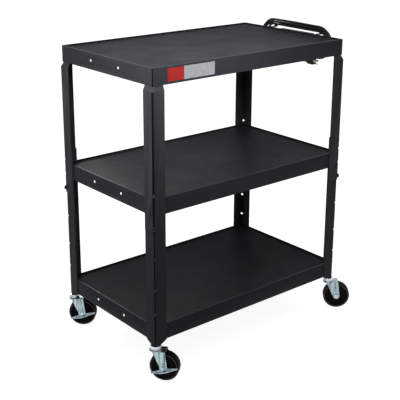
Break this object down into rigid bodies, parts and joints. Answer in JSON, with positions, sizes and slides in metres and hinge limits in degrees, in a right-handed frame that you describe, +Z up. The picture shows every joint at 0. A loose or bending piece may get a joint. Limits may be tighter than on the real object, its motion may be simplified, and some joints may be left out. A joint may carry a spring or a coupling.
{
  "type": "audio visual cart",
  "caption": "Black steel equipment cart: lipped pan shelves on telescoping angle legs, swivel casters with foot brakes, an outlet unit and a wound power cord on one end.",
  "frame": {"origin": "on the floor, under the middle of the cart's box without the cord and plug", "axes": "+X to the right along the long side, towards the outlet unit; +Y to the back; +Z up"},
  "size_m": [0.8876, 0.5746, 1.0202],
  "materials": {
    "black_paint": "satin",
    "bright_zinc": "zinc plated",
    "black_bolt": "black oxide",
    "bolt_zinc": "zinc plated",
    "wheel_rubber": "matte",
    "sticker": "glossy",
    "black_moulding": "matte",
    "cord_jacket": "matte",
    "plated_blades": "nickel plated"
  },
  "bodies": {
    "frame": {"top_shelf": "black_paint", "middle_shelf": "black_paint", "lower_shelf": "black_paint", "upper_leg_front_left": "black_paint", "upper_leg_front_right": "black_paint", "upper_leg_rear_left": "black_paint", "upper_leg_rear_right": "black_paint", "lower_leg_front_left": "black_paint", "lower_leg_front_right": "black_paint", "lower_leg_rear_left": "black_paint", "lower_leg_rear_right": "black_paint", "outlet_housing": "black_paint", "outlet_faceplate": "black_paint", "cord_wrap_front": "black_paint", "cord_wrap_rear": "black_paint", "caster_head_front_left": "bright_zinc", "caster_head_front_right": "bright_zinc", "caster_head_rear_left": "bright_zinc", "caster_head_rear_right": "bright_zinc", "height_bolt_front_left": "black_bolt", "height_bolt_front_right": "black_bolt", "height_bolt_rear_left": "black_bolt", "height_bolt_rear_right": "black_bolt", "height_nut_front_left": "black_bolt", "height_nut_front_right": "black_bolt", "height_nut_rear_left": "black_bolt", "height_nut_rear_right": "black_bolt", "outlet_screw_front": "bolt_zinc", "outlet_screw_rear": "bolt_zinc", "apron_sticker": "sticker", "receptacle_1": "black_moulding", "receptacle_2": "black_moulding", "receptacle_3": "black_moulding", "cord_gland": "black_moulding", "plug_body": "black_moulding", "cord_lead": "cord_jacket", "cord_hank": "cord_jacket", "cord_tail": "cord_jacket", "plug_blade_inner": "plated_blades", "plug_blade_outer": "plated_blades", "plug_ground_pin": "plated_blades"},
    "caster_front_left": {"fork_front_left": "bright_zinc", "axle_bolt_front_left": "bolt_zinc", "axle_nut_front_left": "bolt_zinc"},
    "wheel_front_left": {"wheel_front_left": "wheel_rubber"},
    "caster_front_right": {"fork_front_right": "bright_zinc", "axle_bolt_front_right": "bolt_zinc", "axle_nut_front_right": "bolt_zinc"},
    "wheel_front_right": {"wheel_front_right": "wheel_rubber"},
    "caster_rear_left": {"fork_rear_left": "bright_zinc", "axle_bolt_rear_left": "bolt_zinc", "axle_nut_rear_left": "bolt_zinc"},
    "wheel_rear_left": {"wheel_rear_left": "wheel_rubber"},
    "caster_rear_right": {"fork_rear_right": "bright_zinc", "axle_bolt_rear_right": "bolt_zinc", "axle_nut_rear_right": "bolt_zinc"},
    "wheel_rear_right": {"wheel_rear_right": "wheel_rubber"},
    "brake_front_left": {"brake_lever_front_left": "bright_zinc"},
    "brake_rear_left": {"brake_lever_rear_left": "bright_zinc"}
  },
  "joints": [
    {"name": "swivel_front_left", "type": "hinge", "parent": "frame", "child": "caster_front_left", "pos_m": [-0.41562, -0.20992, 0.1], "axis": [0, 0, 1], "continuous": true},
    {"name": "swivel_front_right", "type": "hinge", "parent": "frame", "child": "caster_front_right", "pos_m": [0.37578, -0.20992, 0.1], "axis": [0, 0, 1], "continuous": true},
    {"name": "swivel_rear_left", "type": "hinge", "parent": "frame", "child": "caster_rear_left", "pos_m": [-0.41562, 0.26468, 0.1], "axis": [0, 0, 1], "continuous": true},
    {"name": "swivel_rear_right", "type": "hinge", "parent": "frame", "child": "caster_rear_right", "pos_m": [0.37578, 0.26468, 0.1], "axis": [0, 0, 1], "continuous": true},
    {"name": "roll_front_left", "type": "hinge", "parent": "caster_front_left", "child": "wheel_front_left", "pos_m": [-0.39786, -0.23348, 0.0475], "axis": [0.7986, 0.6018, 0], "continuous": true},
    {"name": "roll_front_right", "type": "hinge", "parent": "caster_front_right", "child": "wheel_front_right", "pos_m": [0.39736, -0.23004, 0.0475], "axis": [0.682, 0.7314, 0], "continuous": true},
    {"name": "roll_rear_left", "type": "hinge", "parent": "caster_rear_left", "child": "wheel_rear_left", "pos_m": [-0.3944, 0.24419, 0.0475], "axis": [0.6947, 0.7193, 0], "continuous": true},
    {"name": "roll_rear_right", "type": "hinge", "parent": "caster_rear_right", "child": "wheel_rear_right", "pos_m": [0.39903, 0.24652, 0.0475], "axis": [0.6157, 0.788, 0], "continuous": true},
    {"name": "brake_front_left", "type": "hinge", "parent": "caster_front_left", "child": "brake_front_left", "pos_m": [-0.39786, -0.23348, 0.0475], "axis": [0.7986, 0.6018, 0], "range_deg": [0, 32]},
    {"name": "brake_rear_left", "type": "hinge", "parent": "caster_rear_left", "child": "brake_rear_left", "pos_m": [-0.3944, 0.24419, 0.0475], "axis": [0.6947, 0.7193, 0], "range_deg": [0, 32]}
  ]
}
